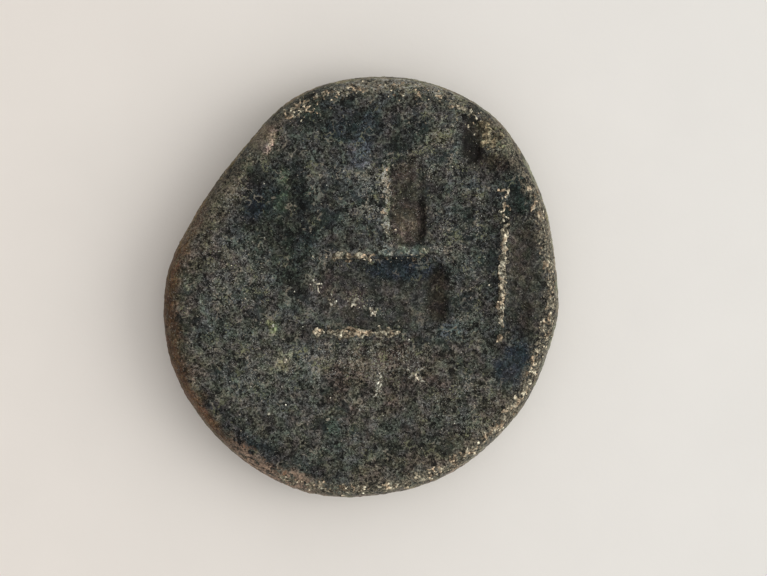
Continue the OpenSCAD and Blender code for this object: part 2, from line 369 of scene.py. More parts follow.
def in_oval(x, y, middle_x, middle_y, half_x, half_y, turn):
    """From 1 inside an oval to 0 outside it, with a soft edge."""
    c, s = math.cos(math.radians(turn)), math.sin(math.radians(turn))
    along = (c * (x - middle_x) + s * (y - middle_y)) / half_x
    across = (c * (y - middle_y) - s * (x - middle_x)) / half_y
    return smoothstep(1.25, 0.6, (np.abs(along) ** 3 + np.abs(across) ** 3) ** (1 / 3))


def between(value, start, full, fade, end):
    """Rises from 0 at start to 1 at full, and falls from 1 at fade to 0 at end."""
    return smoothstep(start, full, value) * smoothstep(end, fade, value)


class Places:
    """Where each of the flan's vertices stands, and which parts of the flan it belongs to."""

    def __init__(self, flan):
        self.points = points_of(flan)
        self.x, self.y, self.z = self.points.T
        self.angle = np.degrees(np.arctan2(self.y, self.x)) % 360
        ragged = field(self.points, 0.9, shift=21.0, octaves=3)
        self.inset = edge_distance(self.points) + EDGE_WARP * ragged
        self.warped_x = self.x + WARP * field(self.points, 0.9, shift=5.0, octaves=4)
        self.warped_y = self.y + WARP * field(self.points, 0.9, shift=9.0, octaves=4)
        self.steady_x = self.x + STEADY_SHARE * (self.warped_x - self.x)
        self.steady_y = self.y + STEADY_SHARE * (self.warped_y - self.y)
        self.lowness = smoothstep(3.0, -6.0, self.warped_y)
        self.on_face = smoothstep(2.2, 3.0, self.z)
        self.side = smoothstep(2.98, 2.6, self.z + SIDE_WARP * ragged)
        self.upper_left = between(self.angle, 105, 120, 158, 172)
        self.chip = in_oval(self.steady_x, self.steady_y, *CHIP)
        # The band along the left edge: painted shade, a warm dark brown, where the edge faces away from the
        # light
        brown_reach = 0.5 + 0.35 * between(self.angle, 155, 175, 205, 232)
        self.shaded_left_edge = smoothstep(brown_reach + 0.4, brown_reach - 0.4, self.inset)
        self.shaded_left_edge *= between(self.angle, 130, 168, 222, 248)
        self.crown = between(self.angle, 55, 65, 92, 105) * smoothstep(1.3, 0.5, self.inset) * self.on_face


def tint(tone, amount, colour):
    """Moves the tones towards a colour, each vertex by its own amount."""
    tone += amount[:, None] * (np.array(colour) - tone)


def face_tones(at):
    """The struck face: cool above and warm below, with the stains, the device and the groove's streaks."""
    lowness = at.lowness[:, None]
    tone = (1 - lowness) * np.array(TEAL_GREY) + lowness * np.array(BROWN_GREY)
    tint(tone, 0.7 * smoothstep(5.5, 7.5, at.warped_x), DARK_BAND)
    for _, *oval, colour, strength in STAINS:
        tint(tone, strength * at.on_face * in_oval(at.warped_x, at.warped_y, *oval), colour)
    # Some of the device's tones are painted light and shade on its walls
    for _, *oval, colour, strength in STRUCK_TONES:
        tint(tone, strength * at.on_face * in_oval(at.steady_x, at.steady_y, *oval), colour)
    drawn_out = at.points * np.array((1.0, 0.1, 1.0))
    streaks = np.exp(0.9 * field(drawn_out, 0.35, shift=13.0, octaves=2))
    tone *= 1 + (in_oval(at.steady_x, at.steady_y, *GROOVE) * (streaks - 1))[:, None]
    return tone


def tint_edge(at, tone):
    """The worn ring, the dark margin at the lower left, the lit upper left, the painted shade at the left and
    the chip.
    """
    margin = between(at.angle, 205, 220, 258, 272)
    worn_arc = between(at.angle, 108, 125, 318, 335) * (1 - margin)
    tint(tone, 0.55 * worn_arc * between(at.inset, 0.5, 0.8, 1.2, 2.0), PALE_EDGE)
    tint(tone, 0.65 * margin * between(at.inset, 0.75, 0.9, 1.3, 1.9), NAVY_BLACK)
    tint(tone, 0.45 * at.upper_left * between(at.inset, 0.5, 0.75, 0.9, 1.25), PALE_EDGE)
    # Painted shade on the left edge
    tint(tone, 0.95 * at.shaded_left_edge, SHADED_EDGE_BROWN)
    tint(tone, 0.85 * at.chip, CHIP_BROWN)
    tint(tone, 0.9 * in_oval(at.steady_x, at.steady_y, *FLAKE), FLAKE_PINK)


def shade_and_coat_side(at, tone):
    """A mottled layer on the outer side, whose colour changes on the way round: its own colour with painted
    light and shade.
    """
    stops = [degrees for degrees, _ in SIDE_TONES_AND_SHADE]
    channels = zip(*(colour for _, colour in SIDE_TONES_AND_SHADE))
    shade_and_coat = np.stack([np.interp(at.angle, stops, channel, period=360) for channel in channels], 1)
    patches = smoothstep(-0.45, 0.0, field(at.points, 0.45, shift=33.0, octaves=3))
    patches *= smoothstep(-0.75, -0.2, field(at.points, 1.8, shift=27.0, octaves=2))
    tint(tone, 0.9 * at.side * (0.25 + 0.75 * patches), shade_and_coat)


def smoothness(at):
    """How smooth each vertex is worn: the upper part of the side, the left edge, the chip and the list."""
    smooth = at.side * (1 - 0.9 * at.upper_left) * smoothstep(1.6, 2.5, at.z)
    smooth = np.maximum(smooth, 0.35 * at.side)
    smooth = np.maximum(smooth, 0.7 * np.maximum(at.shaded_left_edge, at.chip))
    for _, *oval, amount in SMOOTHED:
        smooth = np.maximum(smooth, amount * in_oval(at.warped_x, at.warped_y, *oval))
    return smooth


def dustiness(at):
    """How dusty each vertex is: along the right-hand and lower rim, on the crown, and at the upper left."""
    sweep = np.minimum(smoothstep(238, 262, at.angle) + smoothstep(60, 40, at.angle), 1)
    rim = smoothstep(1.05, 0.6, at.inset) * (1 - at.side)
    upper_left = between(at.angle, 98, 112, 160, 176) * smoothstep(1.2, 0.6, at.inset)
    upper_left *= smoothstep(2.4, 2.9, at.z)
    return np.maximum(rim * sweep, np.maximum(0.75 * at.crown, 0.6 * upper_left))


def speckling(at, tone):
    """How thickly pale specks lie: thinly all over, thicker in the listed zones, and less on dark tones."""
    lightness = tone @ np.array((0.3, 0.6, 0.1))
    paleness = np.clip(lightness / TYPICAL_TONE, 0.15, 1.3)
    speckle = np.maximum(PLAIN_SPECKLE, 1.3 * at.crown)
    for _, *oval, amount in SPECKLED:
        speckle = np.maximum(speckle, amount * in_oval(at.steady_x, at.steady_y, *oval))
    return speckle * paleness * at.on_face


def bareness(at):
    """How bare the copper is: only along a stretch of the lower left edge."""
    stretch = between(at.angle, 225, 236, 250, 262)
    return stretch * smoothstep(1.1, 0.6, at.inset) * smoothstep(1.0, 1.6, at.z)


def paint_flan(flan):
    """Stores what the patina reads on the flan's vertices."""
    at = Places(flan)
    tone = face_tones(at)
    tint_edge(at, tone)
    shade_and_coat_side(at, tone)
    add_point_attribute(flan, "tone", tone * LIFT)
    add_point_attribute(flan, "smooth", smoothness(at))
    add_point_attribute(flan, "dust", dustiness(at))
    add_point_attribute(flan, "speckle", speckling(at, tone))
    add_point_attribute(flan, "scabs", 0.82 - 0.27 * at.lowness)
    add_point_attribute(flan, "copper", bareness(at))


# ---------------------------------------------------------------- materials

def new_node(tree, kind, settings=None, sockets=None):
    """Adds a node. A socket takes a constant, or the output of another node."""
    made = tree.nodes.new(kind)
    for key, value in (settings or {}).items():
        setattr(made, key, value)
    for key, value in (sockets or {}).items():
        if isinstance(value, bpy.types.NodeSocket):
            tree.links.new(value, made.inputs[key])
        else:
            made.inputs[key].default_value = value
    return made


def sums(tree, operation, a, b=0.0, clamp=False):
    return new_node(
        tree, "ShaderNodeMath", {"operation": operation, "use_clamp": clamp}, {0: a, 1: b}
    ).outputs[0]


def times(tree, a, b):
    return sums(tree, "MULTIPLY", a, b)


def remap(tree, value, low, high, to_low=0.0, to_high=1.0):
    return new_node(
        tree, "ShaderNodeMapRange", {"interpolation_type": "SMOOTHSTEP"},
        {"Value": value, "From Min": low, "From Max": high, "To Min": to_low, "To Max": to_high},
    ).outputs["Result"]


def blend_colour(tree, factor, a, b, mode="MIX"):
    """A Mix node for colours: its socket 0 is the factor, and its sockets 6 and 7 are the two colours."""
    made = new_node(tree, "ShaderNodeMix", {"data_type": "RGBA", "blend_type": mode}, {0: factor, 6: a, 7: b})
    return made.outputs[2]


def cover(tree, mask, strength, under, over):
    """Lays one colour over another where a mask shows, at up to the given strength."""
    return blend_colour(tree, times(tree, mask, strength), under, over)


def scaled(tree, colour, factor):
    made = new_node(tree, "ShaderNodeVectorMath", {"operation": "SCALE"}, {0: colour, "Scale": factor})
    return made.outputs[0]


def moved_by(tree, place, shift):
    return new_node(tree, "ShaderNodeVectorMath", {"operation": "ADD"}, {0: place, 1: shift}).outputs[0]


def noise_at(tree, coordinates, size, detail=2.0, roughness=0.5):
    """Noise from 0 to 1 with features of the given size in millimetres."""
    scale = sums(tree, "DIVIDE", 1.0, size) if isinstance(size, bpy.types.NodeSocket) else 1.0 / size
    return new_node(
        tree, "ShaderNodeTexNoise", {"noise_dimensions": "3D"},
        {"Vector": coordinates, "Scale": scale, "Detail": detail, "Roughness": roughness},
    ).outputs["Fac"]


PLACE = ("Place", "NodeSocketVector", None)
COLOUR = ("Colour", "NodeSocketColor", (0.5, 0.5, 0.5, 1))


def number(name, value):
    return name, "NodeSocketFloat", value


def cells_at(tree, coordinates, scale):
    """A Voronoi texture's outputs: a chance Color for each cell, and the Distance from its point."""
    return new_node(
        tree, "ShaderNodeTexVoronoi", {"feature": "F1"}, {"Vector": coordinates, "Scale": scale}
    ).outputs


def new_group(name, inputs, outputs):
    """An empty effect group. inputs holds (name, socket type, value), outputs (name, socket type)."""
    group = bpy.data.node_groups.new(name, "ShaderNodeTree")
    for label, kind, value in inputs:
        socket = group.interface.new_socket(label, in_out="INPUT", socket_type=kind)
        if value is not None:
            socket.default_value = value
    for label, kind in outputs:
        group.interface.new_socket(label, in_out="OUTPUT", socket_type=kind)
    return group, group.nodes.new("NodeGroupInput").outputs, group.nodes.new("NodeGroupOutput").inputs


def use_group(tree, group, sockets):
    return new_node(tree, "ShaderNodeGroup", {"node_tree": group}, sockets).outputs


def make_mottle_group():
    """Multiplies a colour by noise, so that it lightens and darkens in patches of one size."""
    group, given, result = new_group(
        "Mottle", [PLACE, COLOUR, number("Size", 1.0), number("Strength", 1.0)],
        [("Colour", "NodeSocketColor")],
    )
    wave = noise_at(group, given["Place"], given["Size"], 3.0, 0.6)
    swing = times(group, sums(group, "SUBTRACT", wave, 0.5), given["Strength"])
    factor = sums(group, "POWER", math.e, swing)
    group.links.new(scaled(group, given["Colour"], factor), result["Colour"])
    return group


def make_crystals_group():
    """Breaks a colour up into small cells, each lighter or darker, warmer or cooler than the next."""
    group, given, result = new_group(
        "Crystals", [PLACE, COLOUR, number("Size", 0.1), number("Strength", 1.0)],
        [("Colour", "NodeSocketColor")],
    )
    cell = cells_at(group, given["Place"], sums(group, "DIVIDE", 1.0, given["Size"]))["Color"]
    chance = new_node(group, "ShaderNodeSeparateColor", None, {"Color": cell}).outputs
    swing = times(group, sums(group, "SUBTRACT", chance["Red"], 0.5), given["Strength"])
    shade = scaled(group, given["Colour"], sums(group, "POWER", math.e, swing))
    cast = blend_colour(group, chance["Green"], (1.04, 1.0, 0.95, 1), (0.97, 1.01, 1.01, 1))
    group.links.new(blend_colour(group, 1.0, shade, cast, "MULTIPLY"), result["Colour"])
    return group


def make_drift_group():
    """Lets a colour drift from warm to cool over one size, and from olive to mauve over nearly half of it."""
    group, given, result = new_group(
        "Drift", [PLACE, COLOUR, number("Size", 1.0)], [("Colour", "NodeSocketColor")]
    )
    moved = moved_by(group, given["Place"], (31.0, 17.0, 5.0))
    warm = remap(group, noise_at(group, moved, given["Size"], 3.0, 0.6), 0.38, 0.62)
    cast = blend_colour(group, warm, (0.94, 1.03, 1.03, 1), (1.06, 0.98, 0.93, 1))
    colour = blend_colour(group, 1.0, given["Colour"], cast, "MULTIPLY")
    nearly_half = times(group, given["Size"], 0.45)
    mauve = remap(group, noise_at(group, moved, nearly_half, 2.0, 0.5), 0.40, 0.60)
    cast = blend_colour(group, mauve, (0.98, 1.03, 0.93, 1), (1.02, 0.97, 1.03, 1))
    group.links.new(blend_colour(group, 1.0, colour, cast, "MULTIPLY"), result["Colour"])
    return group


def make_specks_group():
    """A mask of small round specks. Share, from 0 to 1, is how thickly they lie."""
    group, given, result = new_group(
        "Specks", [PLACE, number("Size", 0.1), number("Share", 0.2)], [("Mask", "NodeSocketFloat")]
    )
    wave = noise_at(group, given["Place"], given["Size"], 2.0, 0.6)
    patches = noise_at(group, given["Place"], times(group, given["Size"], 7.0), 2.0, 0.5)
    thick = times(group, given["Share"], remap(group, patches, 0.3, 0.7, 0.4, 1.6))
    low = sums(group, "SUBTRACT", 0.70, times(group, thick, 0.16))
    mask = remap(group, wave, low, sums(group, "ADD", low, 0.05))
    group.links.new(mask, result["Mask"])
    return group


def make_spots_group():
    """A mask of separate ragged spots with crisp edges, one at most in each cell of the given size."""
    group, given, result = new_group(
        "Spots",
        [PLACE, number("Size", 0.3), number("Share", 0.5), ("Shift", "NodeSocketVector", (0.0, 0.0, 0.0))],
        [("Mask", "NodeSocketFloat")],
    )
    moved = moved_by(group, given["Place"], given["Shift"])
    sway = new_node(
        group, "ShaderNodeTexNoise", None,
        {"Vector": moved, "Scale": sums(group, "DIVIDE", 2.6, given["Size"]), "Detail": 2.0},
    ).outputs["Color"]
    centred = new_node(
        group, "ShaderNodeVectorMath", {"operation": "SUBTRACT"}, {0: sway, 1: (0.5, 0.5, 0.5)}
    ).outputs[0]
    ragged = moved_by(group, moved, scaled(group, centred, times(group, given["Size"], 1.5)))
    cells = cells_at(group, ragged, sums(group, "DIVIDE", 1.0, given["Size"]))
    chance = new_node(group, "ShaderNodeSeparateColor", None, {"Color": cells["Color"]}).outputs["Red"]
    reach = times(group, sums(group, "SUBTRACT", given["Share"], chance), 0.6)
    inside = sums(group, "SUBTRACT", reach, cells["Distance"])
    group.links.new(remap(group, inside, -0.12, 0.02), result["Mask"])
    return group


def make_veins_group():
    """A mask of thin curly lines that come and go. Share, from 0 to 1, is how much of them shows."""
    group, given, result = new_group(
        "Veins", [PLACE, number("Size", 0.6), number("Width", 0.04), number("Share", 0.8)],
        [("Mask", "NodeSocketFloat")],
    )
    wave = noise_at(group, given["Place"], given["Size"], 2.5, 0.55)
    ridge = sums(group, "ABSOLUTE", sums(group, "SUBTRACT", wave, 0.5))
    line = remap(group, ridge, 0.0, given["Width"], 1.0, 0.0)
    gaps = noise_at(group, given["Place"], times(group, given["Size"], 1.7))
    low = sums(group, "SUBTRACT", 0.66, times(group, given["Share"], 0.28))
    broken = remap(group, gaps, low, sums(group, "ADD", low, 0.09))
    group.links.new(times(group, line, broken), result["Mask"])
    return group


def make_grain_group():
    """Height of a rough, granular skin: broad bumps, sharp grain and small pits."""
    group, given, result = new_group(
        "Grain", [PLACE, number("Size", 0.15)], [("Height", "NodeSocketFloat")]
    )
    fine = noise_at(group, given["Place"], given["Size"], 4.0, 0.65)
    broad = noise_at(group, given["Place"], times(group, given["Size"], 3.5), 2.0, 0.5)
    cells = cells_at(group, given["Place"], sums(group, "DIVIDE", 0.6, given["Size"]))
    pits = remap(group, cells["Distance"], 0.12, 0.4, -0.45, 0.0)
    height = sums(group, "ADD", sums(group, "ADD", fine, broad), pits)
    group.links.new(height, result["Height"])
    return group


mottle_group = make_mottle_group()
crystals_group = make_crystals_group()
drift_group = make_drift_group()
specks_group = make_specks_group()
spots_group = make_spots_group()
veins_group = make_veins_group()
grain_group = make_grain_group()


def start_material(name, **constants):
    """A material with one Principled shader, and coordinates in millimetres. In constants, _ is a space."""
    material = bpy.data.materials.new(name)
    material.use_nodes = True
    tree = material.node_tree
    shader = tree.nodes["Principled BSDF"]
    for key, value in constants.items():
        shader.inputs[key.replace("_", " ")].default_value = value
    here = new_node(tree, "ShaderNodeTexCoord").outputs["Object"]
    place = new_node(
        tree, "ShaderNodeMapping", None, {"Vector": here, "Scale": (1 / MM, 1 / MM, 1 / MM)}
    ).outputs["Vector"]
    return material, tree, shader, place


def stored(tree, name, output):
    """What the flan's vertices hold under a name: output is Fac for a number and Color for a colour."""
    return new_node(tree, "ShaderNodeAttribute", {"attribute_name": name}).outputs[output]


def mask_from(tree, group, place, **sockets):
    """The mask of an effect group, with its sockets given by name."""
    return use_group(tree, group, {"Place": place, **sockets})["Mask"]


def varied(tree, group, place, colour, steps):
    """Passes a colour through Mottle or Crystals, once for each size and strength."""
    for size, strength in steps:
        colour = use_group(
            tree, group, {"Place": place, "Colour": colour, "Size": size, "Strength": strength}
        )["Colour"]
    return colour


def wire_bump(tree, shader, height, depth_mm):
    bump = new_node(tree, "ShaderNodeBump", None, {"Height": height, "Distance": depth_mm * MM})
    tree.links.new(bump.outputs["Normal"], shader.inputs["Normal"])


def patina_skin(tree, place, smooth, scab):
    """The bare skin: broad drifts and dark scabs, broken up by fine mottling and short lit strokes."""
    colour = use_group(
        tree, drift_group, {"Place": place, "Colour": stored(tree, "tone", "Color"), "Size": 1.1}
    )["Colour"]
    colour = varied(tree, mottle_group, place, colour, ((2.4, 0.9), (0.9, 1.3)))
    under_scab = blend_colour(tree, 1.0, colour, (0.42, 0.52, 0.54, 1), "MULTIPLY")
    broad = cover(tree, scab, 0.75, colour, under_scab)
    colour = varied(tree, mottle_group, place, broad, ((0.35, 1.7), (0.09, 4.2)))
    colour = varied(tree, crystals_group, place, colour, ((0.17, 1.0), (0.09, 1.6)))
    strokes = mask_from(tree, veins_group, place, Size=0.26, Width=0.036, Share=0.9)
    colour = cover(tree, strokes, 0.8, colour, scaled(tree, broad, 4.0))
    calm = sums(tree, "MAXIMUM", times(tree, smooth, 0.72), times(tree, scab, 0.45))
    return blend_colour(tree, calm, colour, broad)


def speck_colours(tree, place):
    """Grey, tan and olive, in patches."""
    hue = remap(tree, noise_at(tree, place, 0.45), 0.42, 0.58)
    colour = blend_colour(tree, hue, (0.23, 0.235, 0.195, 1), (0.36, 0.31, 0.235, 1))
    olive = remap(tree, noise_at(tree, place, 0.7), 0.52, 0.60)
    return cover(tree, olive, 0.8, colour, (0.19, 0.195, 0.10, 1))


def scatter_specks(tree, place, colour, scab, rough_face):
    """Lays pale curls, flecks, specks and the finest white specks over a colour, fewer on the scabs."""
    off_scabs = sums(tree, "SUBTRACT", 1.15, times(tree, scab, 0.8))
    speckle = times(tree, stored(tree, "speckle", "Fac"), off_scabs)
    speck_colour = speck_colours(tree, place)
    curls = mask_from(tree, veins_group, place, Size=0.5, Width=0.045, Share=0.46)
    curls = times(tree, curls, times(tree, rough_face, 0.55))
    colour = blend_colour(tree, curls, colour, speck_colour)
    fleck_share = times(tree, speckle, 0.75)
    flecks = mask_from(tree, spots_group, place, Size=0.22, Share=fleck_share, Shift=(3.0, 8.0, 1.0))
    pale = mask_from(tree, specks_group, place, Size=0.10, Share=speckle)
    pale = sums(tree, "MAXIMUM", times(tree, pale, 0.85), times(tree, flecks, 0.7))
    colour = blend_colour(tree, pale, colour, speck_colour)
    white = mask_from(tree, specks_group, place, Size=0.055, Share=times(tree, speckle, 0.7))
    return cover(tree, white, 0.8, colour, (0.46, 0.46, 0.42, 1))


def lay_dust(tree, place, colour):
    """Broken tan and brown dust, where the dust attribute says."""
    broken = remap(tree, noise_at(tree, place, 0.15, 3.0, 0.7), 0.46, 0.52)
    dust = times(tree, stored(tree, "dust", "Fac"), broken)
    hue = remap(tree, noise_at(tree, place, 0.09, 2.0), 0.38, 0.62)
    dust_colour = blend_colour(tree, hue, (0.060, 0.054, 0.040, 1), (0.29, 0.25, 0.18, 1))
    return cover(tree, dust, 0.9, colour, dust_colour)


def bare_copper(tree, place, colour, bare):
    """Pinkish metal with orange flecks, where the patina has come away."""
    here = times(tree, bare, remap(tree, noise_at(tree, place, 0.4, 4.0, 0.7), 0.44, 0.5))
    hue = remap(tree, noise_at(tree, place, 0.13, 3.0), 0.4, 0.6)
    metal = blend_colour(tree, hue, (0.165, 0.115, 0.085, 1), (0.44, 0.305, 0.215, 1))
    orange = mask_from(tree, spots_group, place, Size=0.6, Share=0.5, Shift=(2.0, 6.0, 4.0))
    metal = cover(tree, orange, 0.7, metal, (0.42, 0.21, 0.11, 1))
    return cover(tree, here, 0.85, colour, metal)


def pinholes(tree, place):
    """A mask of small dark holes, and of fewer that are twice as large."""
    small = mask_from(tree, spots_group, place, Size=0.24, Share=0.62, Shift=(0.0, 0.0, 0.0))
    large = mask_from(tree, spots_group, place, Size=0.5, Share=0.52, Shift=(5.0, 2.0, 9.0))
    return sums(tree, "MAXIMUM", small, large)


def make_patina():
    """The flan's skin: patina, specks, dust, bare copper and pinholes, laid one over the other."""
    material, tree, shader, place = start_material("dark_patina", Metallic=0.0, Specular_IOR_Level=0.12)
    smooth = stored(tree, "smooth", "Fac")
    bare = stored(tree, "copper", "Fac")
    rough_face = sums(tree, "SUBTRACT", 1.0, times(tree, smooth, 0.85), clamp=True)
    scab = mask_from(
        tree, spots_group, place, Size=1.15, Share=stored(tree, "scabs", "Fac"), Shift=(11.0, 4.0, 6.0)
    )
    scab = times(tree, scab, rough_face)

    colour = patina_skin(tree, place, smooth, scab)
    colour = scatter_specks(tree, place, colour, scab, rough_face)
    colour = lay_dust(tree, place, colour)
    colour = bare_copper(tree, place, colour, bare)
    holes = times(tree, pinholes(tree, place), sums(tree, "MAXIMUM", rough_face, bare))
    colour = cover(tree, holes, 0.85, colour, (0.006, 0.006, 0.005, 1))
    tree.links.new(colour, shader.inputs["Base Color"])

    roughness = remap(tree, noise_at(tree, place, 0.5), 0.3, 0.7, 0.5, 0.75)
    tree.links.new(roughness, shader.inputs["Roughness"])
    height = use_group(tree, grain_group, {"Place": place, "Size": 0.11})["Height"]
    height = sums(tree, "SUBTRACT", height, times(tree, holes, 0.8))
    wire_bump(tree, shader, times(tree, height, rough_face), 0.11)
    return material


def make_soil(name, pale, dark, cast):
    """Bound sand: its shade runs between two colours with patches of a third, and dark gaps."""
    material, tree, shader, place = start_material(name, Roughness=0.9, Specular_IOR_Level=0.1)
    wave = noise_at(tree, place, 0.22, 4.0, 0.7)
    colour = blend_colour(tree, remap(tree, wave, 0.38, 0.62), (*dark, 1), (*pale, 1))
    patches = remap(tree, noise_at(tree, place, 0.55, 3.0, 0.6), 0.48, 0.6)
    colour = cover(tree, patches, 0.75, colour, (*cast, 1))
    colour = varied(tree, crystals_group, place, colour, ((0.2, 1.3), (0.1, 1.6)))
    gaps = mask_from(tree, specks_group, place, Size=0.14, Share=0.9)
    colour = cover(tree, gaps, 0.8, colour, (0.020, 0.018, 0.014, 1))
    tree.links.new(colour, shader.inputs["Base Color"])
    wire_bump(tree, shader, use_group(tree, grain_group, {"Place": place, "Size": 0.08})["Height"], 0.06)
    return material


# ---------------------------------------------------------------- soil

draw = random.Random(SEED)


def make_pebbles(count=4):
    """A few rounded grains about one unit across, each with two dozen faces, as vertex and face lists."""
    shapes = []
    for _ in range(count):
        bpy.ops.object.select_all(action="DESELECT")
        bpy.ops.mesh.primitive_cube_add(size=1.0)
        pebble = bpy.context.object
        bpy.ops.object.mode_set(mode="EDIT")
        bpy.ops.mesh.select_all(action="SELECT")
        bpy.ops.mesh.subdivide(number_cuts=1, smoothness=1.0)
        bpy.ops.object.mode_set(mode="OBJECT")
        for vertex in pebble.data.vertices:
            vertex.co = vertex.co.normalized() * 0.5 * draw.uniform(0.78, 1.1)
        corners = np.array([v.co[:] for v in pebble.data.vertices])
        shapes.append((corners, [tuple(p.vertices) for p in pebble.data.polygons]))
        bpy.data.objects.remove(pebble)
    return shapes


pebbles = make_pebbles()


def make_crust(name, spots, voxel=0.05, room=0.1):
    """One body of many grains grown together. spots holds (place, normal, size) in millimetres.

    room is the height under the flan's top within which the tallest grains are pressed together."""
    corners, faces = [], []
    count = 0
    for place, normal, size in spots:
        shape, shape_faces = draw.choice(pebbles)
        spin = Euler([draw.uniform(0, math.tau) for _ in range(3)]).to_matrix()
        squash = np.array((draw.uniform(1.0, 1.4), draw.uniform(0.7, 1.0), draw.uniform(0.5, 0.7)))
        lean = normal.to_track_quat("Z", "Y").to_matrix()
        turn = np.array(lean @ Euler((0, 0, draw.uniform(0, math.tau))).to_matrix())
        local = (shape @ np.array(spin).T) * squash * size
        corners.append(local @ turn.T + np.array(place))
        faces += [tuple(i + count for i in face) for face in shape_faces]
        count += len(shape)
    mesh = bpy.data.meshes.new(name)
    mesh.from_pydata(np.vstack(corners).tolist(), [], faces)
    mesh.validate()
    obj = add_object(name, mesh)
    apply_modifier(obj, "REMESH", mode="VOXEL", voxel_size=voxel, use_smooth_shade=True)
    texture = cloud_texture(name + "_grain", 0.1, 2)
    apply_modifier(obj, "DISPLACE", texture=texture, strength=0.05, mid_level=0.5)
    points = points_of(obj)
    press_down(points, TOP - room, room)
    points[:, 0] = np.clip(points[:, 0], flan_low.x, flan_high.x)
    points[:, 1] = np.clip(points[:, 1], flan_low.y, flan_high.y)
    set_points(obj, points)
    shrink_to_metres(obj)
    return obj


class Ground:
    """The finished flan's surface, asked for the place and normal under a point in plan."""

    def __init__(self, flan):
        points = points_of(flan)
        self.tree = BVHTree.FromPolygons(
            [tuple(p) for p in points], [tuple(p.vertices) for p in flan.data.polygons]
        )
        self.turns = 360
        _, _, self.reach = outline(points, self.turns)

    def below(self, x, y):
        place, normal, _, _ = self.tree.ray_cast(Vector((x, y, 2 * TOP)), Vector((0, 0, -1)))
        return (place, normal) if place is not None else None

    def near_edge(self, degrees, inset):
        """The surface point at an angle from the right-hand side, that far in from the outline."""
        angle = math.radians(degrees)
        reach = self.reach[int(((angle + math.pi) % math.tau) / math.tau * self.turns) % self.turns]
        radius = reach - inset
        return self.below(radius * math.cos(angle), radius * math.sin(angle))


def grain_size(small, large):
    """Many small grains and few large ones."""
    return small + (large - small) * draw.random() ** 2.5


def edge_spots(ground, start, sweep, near, far, count, small, large):
    """Grains along the edge, thinning out towards both sides of the band."""
    spots = []
    while len(spots) < count:
        degrees = start + sweep * draw.random()
        inset = draw.triangular(near, far, near + 0.4 * (far - near))
        clump = noise.noise(Vector((degrees * 0.35, inset * 2.0, 7.0)))
        if clump < draw.uniform(-0.6, 0.2):
            continue
        hit = ground.near_edge(degrees, inset)
        if hit:
            spots.append((*hit, grain_size(small, large)))
    return spots


def line_spots(ground, ends, width, count, small, large):
    """Grains scattered along a straight line in plan, from one end to the other."""
    (x0, y0), (x1, y1) = ends
    length = math.hypot(x1 - x0, y1 - y0)
    side = Vector(((y0 - y1) / length, (x1 - x0) / length))
    spots = []
    while len(spots) < count:
        t = draw.random()
        off = draw.gauss(0, width / 2)
        clump = noise.noise(Vector((t * length * 1.6, y0 + off, 3.0)))
        if clump < draw.uniform(-0.5, 0.2):
            continue
        hit = ground.below(x0 + t * (x1 - x0) + off * side.x, y0 + t * (y1 - y0) + off * side.y)
        if hit:
            spots.append((*hit, grain_size(small, large)))
    return spots


def patch_spots(ground, middle, half, count, small, large):
    """Grains heaped over an oval patch."""
    spots = []
    while len(spots) < count:
        a, r = draw.uniform(0, math.tau), math.sqrt(draw.random())
        hit = ground.below(middle[0] + half[0] * r * math.cos(a), middle[1] + half[1] * r * math.sin(a))
        if hit:
            spots.append((*hit, grain_size(small, large)))
    return spots


def loose_spots(ground, named, scattered):
    """Single pale grains: some at named places, and others scattered over the face."""
    places = [(x, y, size) for x, y, size in named]
    for _ in range(scattered):
        places.append((draw.uniform(*SCATTER_X), draw.uniform(*SCATTER_Y), draw.uniform(0.06, 0.12)))
    hits = [(ground.below(x, y), size) for x, y, size in places]
    return [(*hit, size) for hit, size in hits if hit and hit[0].z > FACE_LEVEL]


def finish_piece(obj, material, slot, *nodes):
    """Gives a piece its material, puts it under the root body, and hides the CAD nodes that it stands for.
    slot is not used.
    """
    obj.data.materials.append(material)
    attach(obj, "root")
    if nodes:
        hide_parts(*nodes)


# ---------------------------------------------------------------- the pieces

# Bright single grains on the face, partly pale grains and partly painted glints: x, y and size
SPARKLES = [
    (-1.6, -6.5, 0.24), (-1.1, -6.5, 0.15), (-4.5, -6.2, 0.2), (-3.7, -3.6, 0.3), (-2.0, 5.5, 0.14),
    (-5.3, 2.2, 0.14), (-4.3, -1.9, 0.18), (0.9, -4.4, 0.2), (2.7, -4.3, 0.18), (4.5, 5.9, 0.12),
]
SCATTERED = 120          # single grains that lie anywhere on the face
SCATTER_X = (-8.0, 6.4)
SCATTER_Y = (-8.5, 8.5)
FACE_LEVEL = 3.2         # a spot lower than this is past the face's edge


def make_rim_grains(ground):
    """The crust along the right-hand and lower edge."""
    spots = edge_spots(
        ground, start=246, sweep=146, near=0.07, far=0.95, count=2300, small=0.065, large=0.2
    )
    return make_crust("rim_grains", spots)


def make_crown_grains(ground):
    """The finer crust on the top edge."""
    spots = edge_spots(
        ground, start=50, sweep=64, near=0.1, far=1.5, count=1100, small=0.06, large=0.17
    )
    return make_crust("crown_grains", spots)


def make_lump_grains(ground):
    """The lump beside the corner slot: a row of large grains, and a patch to the right of it."""
    row = (6.0, 8.2), (6.25, 6.7)
    spots = line_spots(ground, row, width=0.26, count=60, small=0.12, large=0.34)
    spots += patch_spots(ground, middle=(6.65, 7.3), half=(0.5, 0.6), count=40, small=0.1, large=0.3)
    return make_crust("lump_grains", spots, room=0.03)


